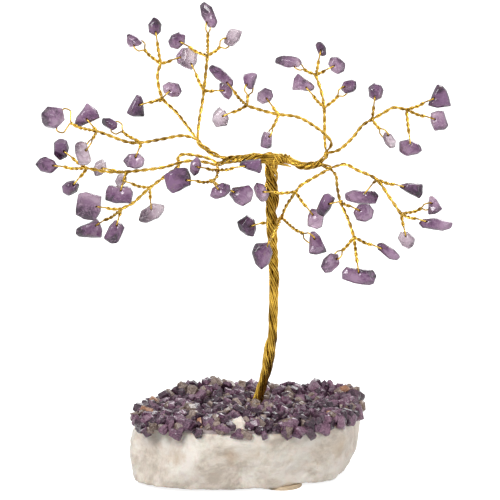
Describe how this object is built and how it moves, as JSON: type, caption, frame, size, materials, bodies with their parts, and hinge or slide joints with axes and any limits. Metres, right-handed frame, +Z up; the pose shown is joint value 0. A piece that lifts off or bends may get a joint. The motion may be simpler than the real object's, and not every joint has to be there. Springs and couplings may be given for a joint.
{
  "type": "gemstone tree ornament",
  "caption": "Small tree of twisted gold-coloured wire with drilled amethyst chips on its branches, standing in a rough white quartz block topped with loose-laid chips.",
  "frame": {"origin": "bottom centre of the bounding box, on the surface that the pads stand on", "axes": "+Z up the trunk, -Y towards the viewer of the front, +X to the viewer's right"},
  "size_m": [0.146, 0.062, 0.1715],
  "materials": {
    "quartz": "rough crystalline",
    "resin": "clear gloss",
    "pad": "matt",
    "bed_dark": "polished",
    "bed_violet": "polished",
    "bed_pale": "polished",
    "bed_amber": "polished",
    "gilt_wire": "bright",
    "amethyst": "polished"
  },
  "bodies": {
    "tree": {"base_block": "quartz", "pads": "pad", "resin": "resin", "bed_chips_dark": "bed_dark", "bed_chips_violet": "bed_violet", "bed_chips_pale": "bed_pale", "bed_chips_amber": "bed_amber", "binding_wire": "gilt_wire", "wire_upper_left": "gilt_wire", "wire_top_left": "gilt_wire", "wire_top_inner": "gilt_wire", "wire_far_left": "gilt_wire", "wire_lower_left": "gilt_wire", "wire_front_left": "gilt_wire", "wire_back_centre": "gilt_wire", "wire_top_right": "gilt_wire", "wire_upper_right": "gilt_wire", "wire_far_right": "gilt_wire", "wire_lower_right": "gilt_wire", "wire_front_right": "gilt_wire", "chips_upper_left": "amethyst", "chips_top_left": "amethyst", "chips_top_inner": "amethyst", "chips_far_left": "amethyst", "chips_lower_left": "amethyst", "chips_front_left": "amethyst", "chips_back_centre": "amethyst", "chips_top_right": "amethyst", "chips_upper_right": "amethyst", "chips_far_right": "amethyst", "chips_lower_right": "amethyst", "chips_front_right": "amethyst"},
    "loose_chip_upper_left_1": {"loose_chip_upper_left_1": "amethyst"},
    "loose_chip_upper_left_4": {"loose_chip_upper_left_4": "amethyst"},
    "loose_chip_upper_left_5": {"loose_chip_upper_left_5": "amethyst"},
    "loose_chip_top_left_4": {"loose_chip_top_left_4": "amethyst"},
    "loose_chip_top_inner_4": {"loose_chip_top_inner_4": "amethyst"},
    "loose_chip_top_inner_5": {"loose_chip_top_inner_5": "amethyst"},
    "loose_chip_back_centre_4": {"loose_chip_back_centre_4": "amethyst"},
    "loose_chip_top_right_2": {"loose_chip_top_right_2": "amethyst"},
    "loose_chip_upper_right_2": {"loose_chip_upper_right_2": "amethyst"},
    "loose_chip_upper_right_5": {"loose_chip_upper_right_5": "amethyst"},
    "loose_chip_far_right_1": {"loose_chip_far_right_1": "amethyst"},
    "loose_chip_far_right_3": {"loose_chip_far_right_3": "amethyst"},
    "loose_chip_lower_right_3": {"loose_chip_lower_right_3": "amethyst"},
    "loose_chip_front_right_4": {"loose_chip_front_right_4": "amethyst"},
    "loose_chip_front_right_5": {"loose_chip_front_right_5": "amethyst"}
  },
  "joints": [
    {"name": "swing_upper_left_1", "type": "hinge", "parent": "tree", "child": "loose_chip_upper_left_1", "pos_m": [-0.04555, -0.00453, 0.12937], "axis": [-0.5028, -0.4003, -0.7661], "range_deg": [-30, 30]},
    {"name": "swing_upper_left_4", "type": "hinge", "parent": "tree", "child": "loose_chip_upper_left_4", "pos_m": [-0.06417, -0.01678, 0.13509], "axis": [-0.2929, -0.5025, -0.8135], "range_deg": [-30, 30]},
    {"name": "swing_upper_left_5", "type": "hinge", "parent": "tree", "child": "loose_chip_upper_left_5", "pos_m": [-0.05517, -0.01798, 0.1244], "axis": [0.2161, -0.9678, 0.1293], "range_deg": [-30, 30]},
    {"name": "swing_top_left_4", "type": "hinge", "parent": "tree", "child": "loose_chip_top_left_4", "pos_m": [-0.03759, 0.02703, 0.15076], "axis": [-0.5013, -0.7776, -0.3796], "range_deg": [-30, 30]},
    {"name": "swing_top_inner_4", "type": "hinge", "parent": "tree", "child": "loose_chip_top_inner_4", "pos_m": [-0.01234, 0.0028, 0.16455], "axis": [-0.3419, -0.901, 0.2671], "range_deg": [-30, 30]},
    {"name": "swing_top_inner_5", "type": "hinge", "parent": "tree", "child": "loose_chip_top_inner_5", "pos_m": [-0.00539, 0.00845, 0.15643], "axis": [-0.4498, -0.447, 0.7732], "range_deg": [-30, 30]},
    {"name": "swing_back_centre_4", "type": "hinge", "parent": "tree", "child": "loose_chip_back_centre_4", "pos_m": [0.00205, -0.01434, 0.14678], "axis": [-0.6363, -0.7113, 0.2985], "range_deg": [-30, 30]},
    {"name": "swing_top_right_2", "type": "hinge", "parent": "tree", "child": "loose_chip_top_right_2", "pos_m": [0.0359, 0.01118, 0.13837], "axis": [-0.4191, -0.602, 0.6796], "range_deg": [-30, 30]},
    {"name": "swing_upper_right_2", "type": "hinge", "parent": "tree", "child": "loose_chip_upper_right_2", "pos_m": [0.0501, 0.01611, 0.11956], "axis": [0.3803, -0.743, 0.5508], "range_deg": [-30, 30]},
    {"name": "swing_upper_right_5", "type": "hinge", "parent": "tree", "child": "loose_chip_upper_right_5", "pos_m": [0.05843, 0.02144, 0.11543], "axis": [0, -0.9613, 0.2756], "range_deg": [-30, 30]},
    {"name": "swing_far_right_1", "type": "hinge", "parent": "tree", "child": "loose_chip_far_right_1", "pos_m": [0.04215, -0.00404, 0.1045], "axis": [0, -0.9613, 0.2756], "range_deg": [-30, 30]},
    {"name": "swing_far_right_3", "type": "hinge", "parent": "tree", "child": "loose_chip_far_right_3", "pos_m": [0.06589, -0.00612, 0.10096], "axis": [-0.1334, -0.6997, 0.7019], "range_deg": [-30, 30]},
    {"name": "swing_lower_right_3", "type": "hinge", "parent": "tree", "child": "loose_chip_lower_right_3", "pos_m": [0.03202, -0.02484, 0.08721], "axis": [0.3745, -0.9238, -0.0797], "range_deg": [-30, 30]},
    {"name": "swing_front_right_4", "type": "hinge", "parent": "tree", "child": "loose_chip_front_right_4", "pos_m": [0.02423, -0.00151, 0.08667], "axis": [0.3484, -0.6618, 0.6638], "range_deg": [-30, 30]},
    {"name": "swing_front_right_5", "type": "hinge", "parent": "tree", "child": "loose_chip_front_right_5", "pos_m": [0.00817, -0.00251, 0.08505], "axis": [0, -0.9613, 0.2756], "range_deg": [-30, 30]}
  ]
}
